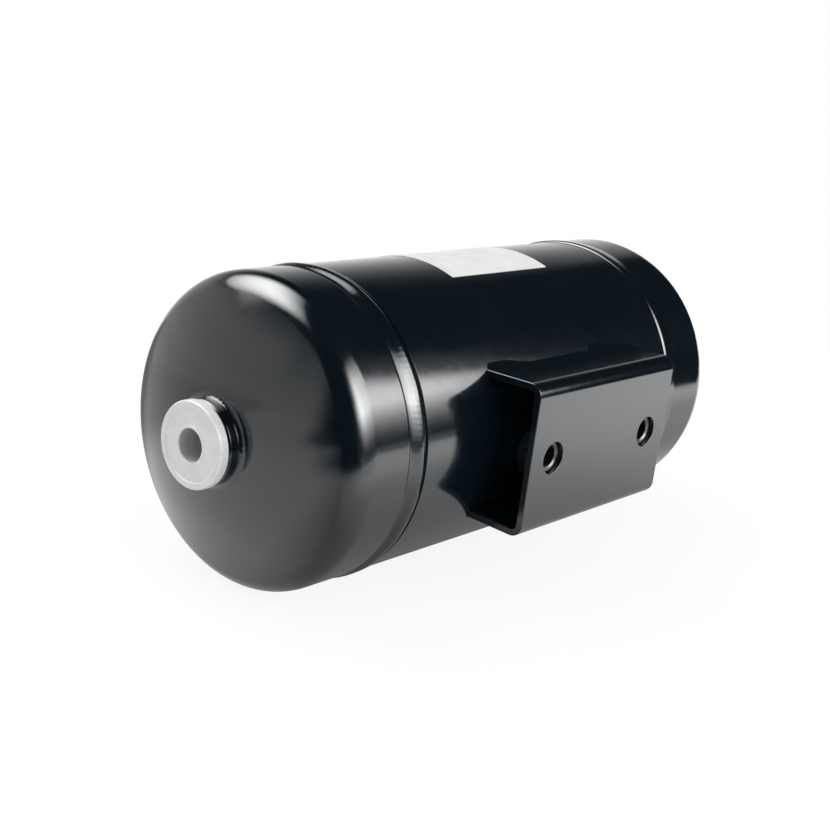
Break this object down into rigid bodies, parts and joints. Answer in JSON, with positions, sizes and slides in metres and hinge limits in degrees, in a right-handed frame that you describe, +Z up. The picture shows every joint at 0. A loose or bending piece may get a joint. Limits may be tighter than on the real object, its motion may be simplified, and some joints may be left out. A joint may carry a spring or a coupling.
{
  "type": "compressed air reservoir",
  "caption": "Small welded steel pressure tank with dished ends, a port boss and plastic plug at each end, and a bent sheet bracket with threaded bolt holes on its side.",
  "frame": {"origin": "middle of the bracket's flat mounting face", "axes": "+X along the tank from the front port to the rear port, -Y out of the mounting face, +Z up with the bracket on a vertical wall"},
  "size_m": [0.299, 0.1477, 0.1294],
  "materials": {
    "black_paint": "gloss",
    "nut_steel": "satin, dulled by paint overspray",
    "plug_plastic": "satin moulded",
    "label_film": "satin"
  },
  "bodies": {
    "tank": {"shell": "black_paint", "front_head": "black_paint", "rear_head": "black_paint", "front_seam_weld": "black_paint", "rear_seam_weld": "black_paint", "shell_seam_weld": "black_paint", "front_port_boss": "black_paint", "rear_port_boss": "black_paint", "front_boss_weld": "black_paint", "rear_boss_weld": "black_paint", "bracket": "black_paint", "upper_front_bracket_weld": "black_paint", "upper_rear_bracket_weld": "black_paint", "lower_front_bracket_weld": "black_paint", "lower_rear_bracket_weld": "black_paint", "front_weld_nut": "nut_steel", "rear_weld_nut": "nut_steel", "label": "label_film"},
    "front_plug": {"front_plug": "plug_plastic"},
    "rear_plug": {"rear_plug": "plug_plastic"}
  },
  "joints": [
    {"name": "front_plug_pull", "type": "slide", "parent": "tank", "child": "front_plug", "axis": [-1, 0, 0], "range_m": [0, 0.03]},
    {"name": "rear_plug_pull", "type": "slide", "parent": "tank", "child": "rear_plug", "axis": [1, 0, 0], "range_m": [0, 0.03]}
  ]
}
